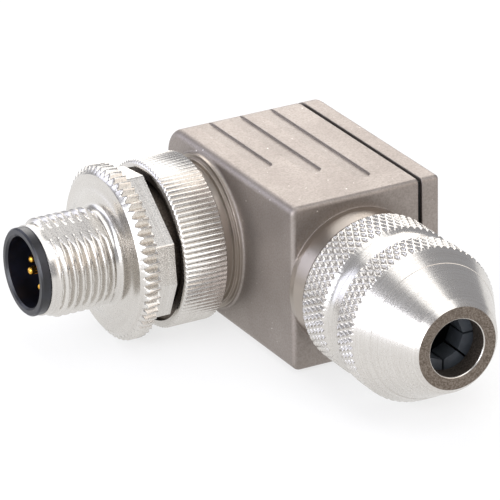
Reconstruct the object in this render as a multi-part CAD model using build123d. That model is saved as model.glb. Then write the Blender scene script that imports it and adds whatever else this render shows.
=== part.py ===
from build123d import *
import math
import os

# Right-angled circular sensor connector with five pins, a turning coupling
# screw, a knurled union ring and a screwed cable gland.
# Millimetres. The mating axis is X (the plug points along -X), the cable
# leaves along -Y, +Z is up. The origin is the middle of the coupling thread.

os.makedirs("parts", exist_ok=True)

# Shared clearances, and how far a cutter runs past what it cuts
RUN_GAP = 0.05
LOOSE_GAP = 0.1
SEAT_GAP = 0.04
PIN_GAP = 0.03
CUT = 1.0

# Housing block
BLOCK_LEFT_X = 18.65
BLOCK_RIGHT_X = 35.5
BLOCK_BACK_Y = 10.2
BLOCK_FRONT_Y = -21.0
BLOCK_HALF_Z = 10.34
BACK_EDGE_R = 3.8
LEFT_EDGE_R = 1.0
FRONT_EDGE_R = 0.55
WALL = 2.0
CHAMBER_CORNER_R = 2.0
BOSS_R = 2.3
BOSS_DEPTH = 7.0

# Finger grips cut into the top and bottom faces
GRIP_COUNT = 3
GRIP_WIDTH = 2.1
GRIP_DEPTH = 0.3
GRIP_PITCH = 4.2
GRIP_STEP_Y = 4.2
GRIP_FIRST_WALL_X = BLOCK_LEFT_X + 4.75
GRIP_FIRST_FRONT_Y = BLOCK_FRONT_Y + 12.4

# Rear cover
GASKET_THICKNESS = 0.55
GASKET_INSET = 0.45
COVER_THICKNESS = 2.35
COVER_EDGE_R = 0.45
COVER_RIB_DEPTH = 1.6
COVER_RIB_WALL = 1.2
COVER_SCREW_R = 1.0
COVER_HEAD_R = 1.9
COVER_SCREW_LENGTH = 8.0
COVER_SCREW_INSET = 3.1
COVER_SOCKET_R = 0.75
COVER_SOCKET_DEPTH = 0.8

# Union ring, a little lower than the block's top face
RING_TIP_R = BLOCK_HALF_Z - 0.1
RING_ROOT_R = RING_TIP_R - 0.24
RING_RIDGES = 100
RING_BEVEL = 0.3
RING_WALL = 1.34
RING_THREAD_R = RING_TIP_R - RING_WALL
RING_MOUTH_R = RING_THREAD_R + 0.4
WASHER_THICKNESS = 0.36

# Stations along the mating axis where the union ring clamps the carrier
CARRIER_FLANGE_X = BLOCK_LEFT_X - 5.45
CARRIER_FLANGE_THICKNESS = 0.85
RING_FOOT_X = CARRIER_FLANGE_X - WASHER_THICKNESS - SEAT_GAP
RING_LIP_REAR_X = RING_FOOT_X - 0.7
RING_LIP_FRONT_X = RING_LIP_REAR_X - 1.1
RING_FRONT_X = RING_LIP_FRONT_X - 0.56
RING_LENGTH = 5.74
RING_REAR_X = RING_FRONT_X + RING_LENGTH

# Spring ring that holds the coupling screw in the union ring
CIRCLIP_R = RING_THREAD_R - 0.6
CIRCLIP_SEAT_R = CIRCLIP_R - 1.1
CIRCLIP_FRONT_X = RING_LIP_REAR_X + 0.18
CIRCLIP_THICKNESS = 0.5
CIRCLIP_MOUTH = 3.0

# Coupling screw
THREAD_R = 6.0
THREAD_LENGTH = 6.6
THREAD_FRONT_X = -THREAD_LENGTH / 2
THREAD_REAR_X = THREAD_LENGTH / 2
THREAD_LEAD = 0.35
THREAD_DEPTH = 0.55
LEAD_R = THREAD_R - THREAD_DEPTH
UNDERCUT_R = THREAD_R - 0.4
SCREW_FRONT_X = -4.66
SCREW_EDGE = 0.1
SCREW_BORE_R = LEAD_R - 0.28
CHANNEL_WIDTH = 8.0
CHANNEL_ANGLE = 20.0
ROOT_FILLET = 0.8
FLANGE_FACE_X = 4.5
FLANGE_FLAT_R = THREAD_R + 1.7
FLANGE_DOME_DROP = 0.2
TOOTH_TIP_R = BLOCK_HALF_Z + 0.28
TOOTH_ROOT_R = TOOTH_TIP_R - 0.48
TOOTH_COUNT = 60
FLANGE_DOME_R = TOOTH_TIP_R - 1.0
TOOTH_FRONT_X = 5.15
TOOTH_REAR_X = 7.3
WRENCH_VERTEX_R = TOOTH_TIP_R - 1.0
WRENCH_ANGLES = (8.5, 68.5, 98.5, 128.5, 188.5, 218.5, 248.5, 308.5, 338.5)
WRENCH_REAR_X = RING_FRONT_X - 0.74
SLEEVE_R = CIRCLIP_SEAT_R + 0.4
SLEEVE_REAR_X = CARRIER_FLANGE_X - 0.18
SLEEVE_BORE_R = CIRCLIP_SEAT_R - 0.8
SLEEVE_BORE_X = WRENCH_REAR_X - 0.3

# Spigot and neck that carry the union ring
SPIGOT_FRONT_X = CARRIER_FLANGE_X + CARRIER_FLANGE_THICKNESS + RUN_GAP
SPIGOT_R = RING_THREAD_R - RUN_GAP
SPIGOT_THREAD_REAR_X = SPIGOT_FRONT_X + 1.9
SPIGOT_RELIEF_R = SPIGOT_R - 0.45
NECK_STEP_X = BLOCK_LEFT_X - 0.95
NECK_X = BLOCK_LEFT_X - 0.55
NECK_FLARE = 0.25
NECK_R = RING_TIP_R - 0.8
NECK_STEP_R = NECK_R - 0.5

# Contact carrier: front piece with the shroud, base with the clamped flange
SHROUD_R = SCREW_BORE_R - 0.06
SHROUD_BORE_R = SHROUD_R - 0.81
RIM_FRONT_X = SCREW_FRONT_X - 1.19
RIM_R = LEAD_R - 0.15
RIM_EDGE = 0.2
RIM_INNER_EDGE = 0.25
SHROUD_FLOOR_X = 3.4
KEY_WIDTH = 0.9
KEY_HEIGHT = 0.55
KEY_ROOT = 0.3
KEY_ANGLE = 50.6
CARRIER_REAR_X = BLOCK_LEFT_X + 1.35
PLUG_R = SPIGOT_RELIEF_R - 1.4
SEAL_GROOVE_X = BLOCK_LEFT_X - 2.05
SEAL_GROOVE_WIDTH = 1.4
SEAL_GROOVE_R = PLUG_R - 1.1
SEAL_SECTION_R = 0.55

# Contacts
PIN_R = 0.5
PIN_POINT_R = 0.28
PIN_POINT = 0.3
PIN_SHOULDER_R = 0.75
PIN_TAIL_R = 0.95
PIN_CIRCLE_R = 2.5
PIN_SETBACK = 2.08
CENTRE_PIN_SETBACK = 0.77
PIN_SHOULDER_X = CARRIER_FLANGE_X + 0.5
PIN_TAIL_X = CARRIER_REAR_X + 0.2
PIN_TAIL_LENGTH = 4.0
PIN_END_X = PIN_TAIL_X + PIN_TAIL_LENGTH
PIN_ANGLES = (5.5, 95.5, 185.5, 275.5)
TERMINAL_FRONT_X = CARRIER_REAR_X + LOOSE_GAP
TERMINAL_LENGTH = 5.8
TERMINAL_REAR_X = TERMINAL_FRONT_X + TERMINAL_LENGTH
TERMINAL_R = PLUG_R - 0.4
WIRE_HOLE = 1.4
WIRE_HOLE_X = PIN_TAIL_X + 2.4
CLAMP_SHANK_R = 0.8
CLAMP_HEAD_R = 1.15
CLAMP_HEAD_HEIGHT = 0.9
CLAMP_SLOT = 0.3

# Cable gland, stations measured outwards from the block's front face
CABLE_X = BLOCK_LEFT_X + 8.25
COLLAR_R = 8.7
COLLAR_STEP = 0.9
COLLAR_FRONT_R = 8.25
COLLAR_LENGTH = 3.7
STUB_R = 8.0
STUB_LENGTH = 12.6
STUB_BORE_R = 6.9
STUB_FLOOR = 6.0
CABLE_WAY_R = 5.0
NUT_REAR = COLLAR_LENGTH + 0.15
NUT_REAR_EDGE = 0.25
NUT_BAND_R = 9.45
NUT_BAND_FRONT = 9.15
NUT_WAIST_R = 9.0
NUT_WAIST_REAR = 9.85
NUT_WAIST_FRONT = 11.85
NUT_SECOND_R = 9.52
NUT_SECOND_REAR = 12.12
NUT_CONE = 15.85
NUT_CONE_R = 9.35
NUT_CONE_EDGE = 0.2
NUT_NOSE = 22.27
NUT_NOSE_R = 5.82
NUT_TIP = 23.11
NUT_TIP_R = 5.05
NUT_BORE_R = 3.5
NUT_LIP = 0.2
NUT_BORE_REAR = 20.75
NUT_SHOULDER = 13.95
NUT_CAVITY_R = 7.05
NUT_CAVITY_END_R = 5.1
NUT_CAVITY_CONE = 15.0
NUT_CAVITY_END = 20.05
NUT_SEAL_R = 8.75
NUT_SEAL = 5.2
RING_SEAL = 4.5
RING_SEAL_R = 0.34
CAGE_R = 6.8
CAGE_BORE_R = 5.7
CAGE_REAR = 8.0
CAGE_COLLAR_R = 7.85
CAGE_COLLAR_REAR = STUB_LENGTH + SEAT_GAP
CAGE_COLLAR_THICKNESS = 0.8
CAGE_TIP = NUT_CAVITY_END - LOOSE_GAP
CAGE_TIP_R = NUT_CAVITY_END_R - 0.25
CAGE_SHOULDER = 17.1
CAGE_MOUTH_R = 2.5
CAGE_FINGERS = 8
CAGE_SLIT = 0.25
CAGE_SLIT_START = 14.3
SLIP_THICKNESS = 0.4
SEAL_R = CAGE_BORE_R - LOOSE_GAP
SEAL_BORE_R = 2.9
SEAL_REAR = 8.4
SEAL_FRONT = CAGE_SHOULDER - LOOSE_GAP
SHIELD_RING_BORE_R = 5.2
SHIELD_RING_THICKNESS = 1.86


def keep(name, shape):
    """Write one piece to its own file."""
    shape.label = name
    export_step(shape, "parts/" + name + ".step")


def turned(points):
    """Solid turned about the mating axis from (x, radius) points."""
    return revolve(make_face(Polyline(*points, close=True)), Axis.X, 360)


def turned_cable(points):
    """Solid turned about the cable axis from (distance out, radius) points."""
    outline = [(CABLE_X + r, BLOCK_FRONT_Y - out) for out, r in points]
    return revolve(make_face(Polyline(*outline, close=True)), Axis((CABLE_X, 0, 0), (0, 1, 0)), 360)


def polar(radius, angle):
    """(y, z) of a point seen from the plug's front, angle from the top."""
    turn = math.radians(angle)
    return (-radius * math.sin(turn), radius * math.cos(turn))


def prism(points, start_x, end_x):
    """Straight piece along the mating axis from (y, z) points."""
    face = Plane.YZ * make_face(Polyline(*points, close=True))
    return Pos(start_x, 0, 0) * extrude(face, end_x - start_x)


def rod(radius, start_x, end_x, y=0.0, z=0.0):
    """Round bar along the mating axis."""
    face = Plane.YZ * Circle(radius)
    return Pos(start_x, y, z) * extrude(face, end_x - start_x)


def toothed(tip_r, root_r, count, start_x, end_x):
    """Prism with straight pointed ridges all round."""
    step = 360 / count
    points = []
    for i in range(count):
        points.append(polar(tip_r, i * step))
        points.append(polar(root_r, (i + 0.5) * step))
    return prism(points, start_x, end_x)


def arc_points(centre, radius, start, end, steps):
    """Points along an arc of a turned outline."""
    points = []
    for i in range(steps + 1):
        turn = math.radians(start + (end - start) * i / steps)
        points.append((centre[0] + radius * math.cos(turn), centre[1] + radius * math.sin(turn)))
    return points


def coupling_front():
    """Thread, undercut and front flange as one turned outline."""
    outline = [(SCREW_FRONT_X, SCREW_BORE_R), (SCREW_FRONT_X, LEAD_R - SCREW_EDGE)]
    outline.append((SCREW_FRONT_X + SCREW_EDGE, LEAD_R))
    outline.append((THREAD_FRONT_X - THREAD_LEAD, LEAD_R))
    outline.append((THREAD_FRONT_X, THREAD_R))
    outline.append((THREAD_REAR_X, THREAD_R))
    outline.append((THREAD_REAR_X + SCREW_EDGE, UNDERCUT_R))
    centre = (FLANGE_FACE_X - ROOT_FILLET, UNDERCUT_R + ROOT_FILLET)
    outline += arc_points(centre, ROOT_FILLET, 270, 360, 4)
    outline.append((FLANGE_FACE_X, FLANGE_FLAT_R))
    outline.append((FLANGE_FACE_X + FLANGE_DOME_DROP, FLANGE_DOME_R))
    outline.append((TOOTH_FRONT_X, TOOTH_ROOT_R - RUN_GAP))
    outline.append((TOOTH_REAR_X, TOOTH_ROOT_R - RUN_GAP))
    outline.append((TOOTH_REAR_X, SCREW_BORE_R))
    return turned(outline)


def teeth():
    """Ring of grip teeth round the flange."""
    ring = toothed(TOOTH_TIP_R, TOOTH_ROOT_R, TOOTH_COUNT, TOOTH_FRONT_X, TOOTH_REAR_X)
    return ring - rod(FLANGE_DOME_R, TOOTH_FRONT_X - CUT, TOOTH_REAR_X + CUT)


def coupling_rear():
    """Wrench flats and the sleeve that runs back inside the union ring."""
    corners = [polar(WRENCH_VERTEX_R, a) for a in WRENCH_ANGLES]
    body = prism(corners, TOOTH_REAR_X, WRENCH_REAR_X)
    body += rod(SLEEVE_R, WRENCH_REAR_X, SLEEVE_REAR_X)
    body -= rod(SCREW_BORE_R, TOOTH_REAR_X - CUT, SLEEVE_REAR_X + CUT)
    body -= rod(SLEEVE_BORE_R, SLEEVE_BORE_X, SLEEVE_REAR_X + CUT)
    groove_front = CIRCLIP_FRONT_X - LOOSE_GAP / 2
    groove_rear = CIRCLIP_FRONT_X + CIRCLIP_THICKNESS + LOOSE_GAP / 2
    groove = [(groove_front, CIRCLIP_SEAT_R), (groove_front, CIRCLIP_R)]
    groove += [(groove_rear, CIRCLIP_R), (groove_rear, CIRCLIP_SEAT_R)]
    return body - turned(groove)


def coupling_screw():
    """The smooth flat channel along the thread is cut last."""
    front = coupling_front() + teeth()
    length = FLANGE_FACE_X - ROOT_FILLET - SCREW_FRONT_X
    channel = Box(length, CHANNEL_WIDTH, 2 * THREAD_DEPTH, align=(Align.MIN, Align.CENTER, Align.MIN))
    channel = Rot(CHANNEL_ANGLE, 0, 0) * Pos(SCREW_FRONT_X, 0, LEAD_R) * channel
    return (front - channel) + coupling_rear()


def circlip():
    """Spring ring in the sleeve's groove, open at one side."""
    rear = CIRCLIP_FRONT_X + CIRCLIP_THICKNESS
    ring = rod(CIRCLIP_R, CIRCLIP_FRONT_X, rear)
    ring -= rod(CIRCLIP_SEAT_R + SEAT_GAP, CIRCLIP_FRONT_X - CUT, rear + CUT)
    mouth = Box(2 * CUT, CIRCLIP_MOUTH, CIRCLIP_R, align=(Align.CENTER, Align.CENTER, Align.MAX))
    return ring - Pos(rear, 0, 0) * mouth


def union_ring():
    """Straight ridges between two smooth bevelled ends."""
    smooth_r = RING_ROOT_R - RUN_GAP
    outline = [(RING_FRONT_X, 0), (RING_FRONT_X, smooth_r - RING_BEVEL)]
    outline += [(RING_FRONT_X + RING_BEVEL, smooth_r), (RING_REAR_X - RING_BEVEL, smooth_r)]
    outline += [(RING_REAR_X, smooth_r - RING_BEVEL), (RING_REAR_X, 0)]
    start = RING_FRONT_X + RING_BEVEL
    end = RING_REAR_X - RING_BEVEL
    body = turned(outline) + toothed(RING_TIP_R, RING_ROOT_R, RING_RIDGES, start, end)
    foot_r = CIRCLIP_R + 0.12
    lip_r = SLEEVE_R + 0.35
    inside = [(RING_FRONT_X - CUT, 0), (RING_FRONT_X - CUT, RING_MOUTH_R)]
    inside += [(RING_LIP_FRONT_X, RING_MOUTH_R), (RING_LIP_FRONT_X, lip_r)]
    inside += [(RING_LIP_REAR_X, lip_r), (RING_LIP_REAR_X, foot_r)]
    inside += [(RING_FOOT_X, foot_r), (RING_FOOT_X, RING_THREAD_R)]
    inside += [(RING_REAR_X + CUT, RING_THREAD_R), (RING_REAR_X + CUT, 0)]
    return body - turned(inside)


def ring_washer():
    """Thin slip washer between the union ring and the carrier's flange."""
    rear = CARRIER_FLANGE_X - SEAT_GAP / 2
    ring = rod(RING_THREAD_R - LOOSE_GAP, rear - WASHER_THICKNESS, rear)
    return ring - rod(CIRCLIP_R + LOOSE_GAP, rear - WASHER_THICKNESS - CUT, rear + CUT)


def pin_places():
    """(y, z) of the four outer contacts and the centre one."""
    return [polar(PIN_CIRCLE_R, a) for a in PIN_ANGLES] + [(0.0, 0.0)]


def contact_carrier():
    """Shroud with its key, and the body that holds the contacts."""
    rim_rear = SCREW_FRONT_X - RUN_GAP
    outline = [(RIM_FRONT_X, 0), (RIM_FRONT_X, RIM_R - RIM_EDGE), (RIM_FRONT_X + RIM_EDGE, RIM_R)]
    outline += [(rim_rear, RIM_R), (rim_rear, SHROUD_R)]
    outline += [(CARRIER_FLANGE_X, SHROUD_R), (CARRIER_FLANGE_X, 0)]
    body = turned(outline)
    mouth = [(RIM_FRONT_X, 0), (RIM_FRONT_X, SHROUD_BORE_R + RIM_INNER_EDGE)]
    mouth += [(RIM_FRONT_X + RIM_INNER_EDGE, SHROUD_BORE_R)]
    mouth += [(SHROUD_FLOOR_X, SHROUD_BORE_R), (SHROUD_FLOOR_X, 0)]
    body -= turned(mouth)
    length = SHROUD_FLOOR_X - RIM_FRONT_X - KEY_ROOT
    key = Box(length, KEY_WIDTH, KEY_HEIGHT + KEY_ROOT, align=(Align.MAX, Align.CENTER, Align.MIN))
    body += Rot(KEY_ANGLE, 0, 0) * Pos(SHROUD_FLOOR_X, 0, SHROUD_BORE_R - KEY_HEIGHT) * key
    for y, z in pin_places():
        body -= rod(PIN_R + PIN_GAP, SHROUD_FLOOR_X - CUT, CARRIER_FLANGE_X + CUT, y, z)
    return body


def carrier_base():
    """Flange held by the union ring, and the plug in the housing's bore."""
    flange_rear = CARRIER_FLANGE_X + CARRIER_FLANGE_THICKNESS
    groove_rear = SEAL_GROOVE_X + SEAL_GROOVE_WIDTH
    flange_r = RING_THREAD_R - 2 * LOOSE_GAP
    outline = [(CARRIER_FLANGE_X, 0), (CARRIER_FLANGE_X, flange_r)]
    outline += [(flange_rear, flange_r), (flange_rear, PLUG_R)]
    outline += [(SEAL_GROOVE_X, PLUG_R), (SEAL_GROOVE_X, SEAL_GROOVE_R)]
    outline += [(groove_rear, SEAL_GROOVE_R), (groove_rear, PLUG_R)]
    outline += [(CARRIER_REAR_X, PLUG_R), (CARRIER_REAR_X, 0)]
    body = turned(outline)
    for y, z in pin_places():
        body -= rod(PIN_R + PIN_GAP, CARRIER_FLANGE_X - CUT, PIN_SHOULDER_X, y, z)
        body -= rod(PIN_SHOULDER_R + PIN_GAP, PIN_SHOULDER_X - PIN_GAP, CARRIER_REAR_X + CUT, y, z)
    return body


def carrier_seal():
    """Sealing ring in the base's groove."""
    middle = SEAL_GROOVE_X + SEAL_GROOVE_WIDTH / 2
    centre_r = SEAL_GROOVE_R + SEAL_SECTION_R + SEAT_GAP / 2
    return turned(arc_points((middle, centre_r), SEAL_SECTION_R, 0, 300, 5))


def contact_pin(place, setback):
    """Turned pin with a thicker shank and a wire clamp at its tail."""
    tip = RIM_FRONT_X + setback
    bore_r = PIN_TAIL_R - 0.3
    bore_end = WIRE_HOLE_X - WIRE_HOLE / 2
    outline = [(tip, 0), (tip, PIN_POINT_R), (tip + PIN_POINT, PIN_R)]
    outline += [(PIN_SHOULDER_X, PIN_R), (PIN_SHOULDER_X, PIN_SHOULDER_R)]
    outline += [(PIN_TAIL_X, PIN_SHOULDER_R), (PIN_TAIL_X, PIN_TAIL_R)]
    outline += [(PIN_END_X, PIN_TAIL_R), (PIN_END_X, bore_r), (bore_end, bore_r), (bore_end, 0)]
    return Pos(0, place[0], place[1]) * turned(outline)


def terminal_block():
    """Plastic block behind the carrier with the square wire entries."""
    body = rod(TERMINAL_R, TERMINAL_FRONT_X, TERMINAL_REAR_X)
    for y, z in pin_places():
        body -= rod(PIN_TAIL_R + SEAT_GAP, TERMINAL_FRONT_X - CUT, TERMINAL_REAR_X + CUT, y, z)
    entry = Box(WIRE_HOLE, WIRE_HOLE, TERMINAL_R, align=(Align.CENTER, Align.CENTER, Align.MIN))
    for angle in PIN_ANGLES:
        body -= Rot(angle, 0, 0) * Pos(WIRE_HOLE_X, 0, PIN_CIRCLE_R) * entry
    return body - Rot(PIN_ANGLES[0] + 45, 0, 0) * Pos(WIRE_HOLE_X, 0, 0) * entry


def terminal_screws():
    """Five slotted clamping screws, one behind each contact."""
    screws = []
    head_front = TERMINAL_REAR_X + SEAT_GAP
    head_rear = head_front + CLAMP_HEAD_HEIGHT
    for y, z in pin_places():
        screw = rod(CLAMP_SHANK_R, PIN_END_X + LOOSE_GAP, head_front, y, z)
        screw += rod(CLAMP_HEAD_R, head_front, head_rear, y, z)
        slot = Pos(head_rear, y, z) * Box(CLAMP_HEAD_HEIGHT, CLAMP_SLOT, 4 * CLAMP_HEAD_R)
        screws.append(screw - slot)
    return Compound(children=screws)


def grip_cut(wall_x, front_y):
    """Shallow ramp that ends in a small step, open at the back edge."""
    half = GRIP_WIDTH / 2
    length = BLOCK_BACK_Y + CUT - front_y - half
    stretch = Rectangle(GRIP_WIDTH, length, align=(Align.CENTER, Align.MIN)) + Circle(half)
    slot = Pos(wall_x - half, front_y + half, BLOCK_HALF_Z - CUT) * extrude(stretch, 2 * CUT)
    ramp = [(wall_x - GRIP_WIDTH, BLOCK_HALF_Z), (wall_x + LOOSE_GAP, BLOCK_HALF_Z + CUT)]
    ramp += [(wall_x + LOOSE_GAP, BLOCK_HALF_Z - GRIP_DEPTH)]
    face = Plane.XZ * make_face(Polyline(*ramp, close=True))
    return slot & (Pos(0, BLOCK_BACK_Y + CUT, 0) * extrude(face, length + 2 * CUT))


def grip_cuts():
    cuts = grip_cut(GRIP_FIRST_WALL_X, GRIP_FIRST_FRONT_Y)
    for i in range(1, GRIP_COUNT):
        cuts += grip_cut(GRIP_FIRST_WALL_X + i * GRIP_PITCH, GRIP_FIRST_FRONT_Y - i * GRIP_STEP_Y)
    return cuts + mirror(cuts, Plane.XY)


def block_blank(left_x, right_x):
    """Box of the housing's outline with the rounded back edges."""
    size = (right_x - left_x, BLOCK_BACK_Y - BLOCK_FRONT_Y, 2 * BLOCK_HALF_Z)
    centre = Pos((left_x + right_x) / 2, (BLOCK_BACK_Y + BLOCK_FRONT_Y) / 2, 0)
    body = centre * Box(*size)
    back = body.edges().filter_by(Axis.X).filter_by(lambda e: e.center().Y > centre.position.Y)
    return fillet(back, BACK_EDGE_R)


def housing_block():
    body = block_blank(BLOCK_LEFT_X, BLOCK_RIGHT_X)
    left = body.faces().sort_by(Axis.X)[0]
    soft = [e for e in left.edges() if e.center().Y > BLOCK_FRONT_Y + LOOSE_GAP]
    body = fillet(soft, LEFT_EDGE_R)
    front = body.faces().sort_by(Axis.Y)[0]
    crisp = [e for e in front.edges() if e.center().X < BLOCK_RIGHT_X - LOOSE_GAP]
    body = fillet(crisp, FRONT_EDGE_R)
    return body - grip_cuts()


def screw_places():
    """(y, z) of the four cover screws."""
    places = []
    for y in (BLOCK_FRONT_Y + COVER_SCREW_INSET, BLOCK_BACK_Y - COVER_SCREW_INSET - FRONT_EDGE_R):
        for side in (-1, 1):
            places.append((y, side * (BLOCK_HALF_Z - COVER_SCREW_INSET)))
    return places


def inner_space(left_x, right_x):
    """The housing's inside: the block's outline less its walls."""
    depth = BLOCK_BACK_Y - BLOCK_FRONT_Y - 2 * WALL
    space = Box(right_x - left_x, depth, 2 * (BLOCK_HALF_Z - WALL))
    space = fillet(space.edges().filter_by(Axis.X), CHAMBER_CORNER_R)
    return Pos((left_x + right_x) / 2, (BLOCK_BACK_Y + BLOCK_FRONT_Y) / 2, 0) * space


def chamber():
    """Wiring space inside the housing, open to the rear cover."""
    space = inner_space(BLOCK_LEFT_X + WALL, BLOCK_RIGHT_X)
    for y, z in screw_places():
        space -= rod(BOSS_R, BLOCK_RIGHT_X - BOSS_DEPTH, BLOCK_RIGHT_X + CUT, y, z)
    return space


def spigot():
    """Threaded neck that carries the union ring."""
    outline = [(SPIGOT_FRONT_X, PLUG_R + RUN_GAP), (SPIGOT_FRONT_X, SPIGOT_R)]
    outline += [(SPIGOT_THREAD_REAR_X, SPIGOT_R), (SPIGOT_THREAD_REAR_X, SPIGOT_RELIEF_R)]
    outline += [(NECK_STEP_X, SPIGOT_RELIEF_R), (NECK_STEP_X, NECK_STEP_R)]
    outline += [(NECK_X, NECK_STEP_R), (NECK_X, NECK_R)]
    centre = (BLOCK_LEFT_X - NECK_FLARE, NECK_R + NECK_FLARE)
    outline += arc_points(centre, NECK_FLARE, 270, 360, 2)
    outline += [(BLOCK_LEFT_X + CUT, NECK_R + NECK_FLARE), (BLOCK_LEFT_X + CUT, PLUG_R + RUN_GAP)]
    return turned(outline)


def gland_stub():
    """Collar and threaded stub for the cable gland."""
    outline = [(-CUT, CABLE_WAY_R), (-CUT, COLLAR_FRONT_R - CUT), (0, COLLAR_R)]
    outline += [(COLLAR_STEP, COLLAR_R), (COLLAR_LENGTH, COLLAR_FRONT_R), (COLLAR_LENGTH, STUB_R)]
    outline += [(STUB_LENGTH, STUB_R), (STUB_LENGTH, STUB_BORE_R)]
    outline += [(STUB_FLOOR, STUB_BORE_R), (STUB_FLOOR, CABLE_WAY_R)]
    return turned_cable(outline)


def cable_rod(radius, start, end):
    """Round bar along the cable axis."""
    return turned_cable([(start, 0), (start, radius), (end, radius), (end, 0)])


def housing():
    body = housing_block() + spigot()
    body += gland_stub()
    body -= chamber()
    body -= rod(PLUG_R + RUN_GAP, SPIGOT_FRONT_X - CUT, BLOCK_LEFT_X + WALL + CUT)
    body -= cable_rod(CABLE_WAY_R, -WALL - CUT, STUB_FLOOR + CUT)
    for y, z in screw_places():
        body -= rod(COVER_SCREW_R + PIN_GAP, BLOCK_RIGHT_X - BOSS_DEPTH + CUT, BLOCK_RIGHT_X + CUT, y, z)
    return body


def cover_outline_cut(inset, left_x, right_x):
    """The block's outline shrunk by an even inset."""
    face = block_blank(left_x, right_x).faces().sort_by(Axis.X)[0]
    return extrude(offset(face, -inset), right_x - left_x, dir=(1, 0, 0))


def gasket():
    right = BLOCK_RIGHT_X + GASKET_THICKNESS
    outer = cover_outline_cut(GASKET_INSET, BLOCK_RIGHT_X, right)
    body = outer - inner_space(BLOCK_RIGHT_X - CUT, right + CUT)
    for y, z in screw_places():
        body += rod(BOSS_R, BLOCK_RIGHT_X, right, y, z)
    for y, z in screw_places():
        body -= rod(COVER_SCREW_R + LOOSE_GAP, BLOCK_RIGHT_X - CUT, right + CUT, y, z)
    return body & outer


def cover_rib(left):
    """Rib that centres the cover in the housing, cut away at the bosses."""
    inset = WALL + 0.25
    middle_y = (BLOCK_BACK_Y + BLOCK_FRONT_Y) / 2
    depth = BLOCK_BACK_Y - BLOCK_FRONT_Y - 2 * inset
    height = 2 * (BLOCK_HALF_Z - inset)
    reach = COVER_RIB_DEPTH + GASKET_THICKNESS
    rib = Box(reach, depth, height)
    rib -= Box(reach + CUT, depth - 2 * COVER_RIB_WALL, height - 2 * COVER_RIB_WALL)
    rib = Pos(left - reach / 2, middle_y, 0) * rib
    half = BOSS_R + 0.25
    for y, z in screw_places():
        rib -= rod(half, left - reach - CUT, left + CUT, y, z)
        out_y = math.copysign(half, y - middle_y)
        out_z = math.copysign(half, z)
        rib -= Pos(left - reach / 2, y + out_y, z + out_z) * Box(reach + 2 * CUT, 2 * half, 2 * half)
    return rib


def cover():
    left = BLOCK_RIGHT_X + GASKET_THICKNESS
    right = left + COVER_THICKNESS
    body = block_blank(left, right)
    front = body.edges().filter_by(Axis.X).sort_by(Axis.Y)[:2]
    body = fillet(front, FRONT_EDGE_R)
    body = fillet(body.faces().sort_by(Axis.X)[-1].edges(), COVER_EDGE_R)
    body += cover_rib(left)
    for y, z in screw_places():
        body -= rod(COVER_SCREW_R + LOOSE_GAP, left - CUT, right + CUT, y, z)
        body -= Pos(0, y, z) * turned(countersink(right, LOOSE_GAP * 1.5))
    return body


def countersink(face_x, grow):
    """Outline of a countersunk head whose top lies in the given face."""
    head = COVER_HEAD_R + grow
    bottom = face_x - (COVER_HEAD_R - COVER_SCREW_R) - grow
    return [(face_x + 0.01, 0), (face_x + 0.01, head), (bottom, COVER_SCREW_R), (bottom, 0)]


def cover_screws():
    """Four countersunk screws with a hexagon socket."""
    screws = []
    top = BLOCK_RIGHT_X + GASKET_THICKNESS + COVER_THICKNESS - LOOSE_GAP / 2
    for y, z in screw_places():
        screw = Pos(0, y, z) * turned(countersink(top, 0))
        screw += rod(COVER_SCREW_R, top - COVER_SCREW_LENGTH, top - COVER_SOCKET_DEPTH, y, z)
        hexagon = Plane.YZ * RegularPolygon(COVER_SOCKET_R, 6)
        screw -= Pos(top - COVER_SOCKET_DEPTH, y, z) * extrude(hexagon, COVER_SOCKET_DEPTH + CUT)
        screws.append(screw)
    return Compound(children=screws)


def gland_nut():
    """Two knurled bands with a plain waist, a cone and a bevelled nose."""
    outline = [(NUT_REAR, NUT_SEAL_R), (NUT_REAR, NUT_BAND_R - NUT_REAR_EDGE)]
    outline += [(NUT_REAR + NUT_REAR_EDGE, NUT_BAND_R), (NUT_BAND_FRONT, NUT_BAND_R)]
    outline += [(NUT_WAIST_REAR, NUT_WAIST_R), (NUT_WAIST_FRONT, NUT_WAIST_R)]
    outline += [(NUT_SECOND_REAR, NUT_SECOND_R), (NUT_CONE - NUT_CONE_EDGE, NUT_SECOND_R)]
    outline.append((NUT_CONE, NUT_CONE_R))
    outline += [(NUT_NOSE, NUT_NOSE_R), (NUT_TIP, NUT_TIP_R), (NUT_TIP, NUT_BORE_R + NUT_LIP)]
    outline += [(NUT_TIP - NUT_LIP, NUT_BORE_R), (NUT_BORE_REAR, NUT_BORE_R)]
    outline += [(NUT_BORE_REAR, NUT_CAVITY_END_R), (NUT_CAVITY_END, NUT_CAVITY_END_R)]
    outline += [(NUT_CAVITY_CONE, NUT_CAVITY_R), (NUT_SHOULDER, NUT_CAVITY_R)]
    outline += [(NUT_SHOULDER, STUB_R + RUN_GAP), (NUT_SEAL, STUB_R + RUN_GAP)]
    outline += [(NUT_SEAL, NUT_SEAL_R)]
    return turned_cable(outline)


def gland_washer():
    """Slip washer carried along in the nut."""
    front = NUT_SHOULDER - SEAT_GAP
    rear = front - SLIP_THICKNESS
    inner = NUT_CAVITY_R + PIN_GAP
    outer = STUB_R - PIN_GAP
    return turned_cable([(rear, inner), (rear, outer), (front, outer), (front, inner)])


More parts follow.
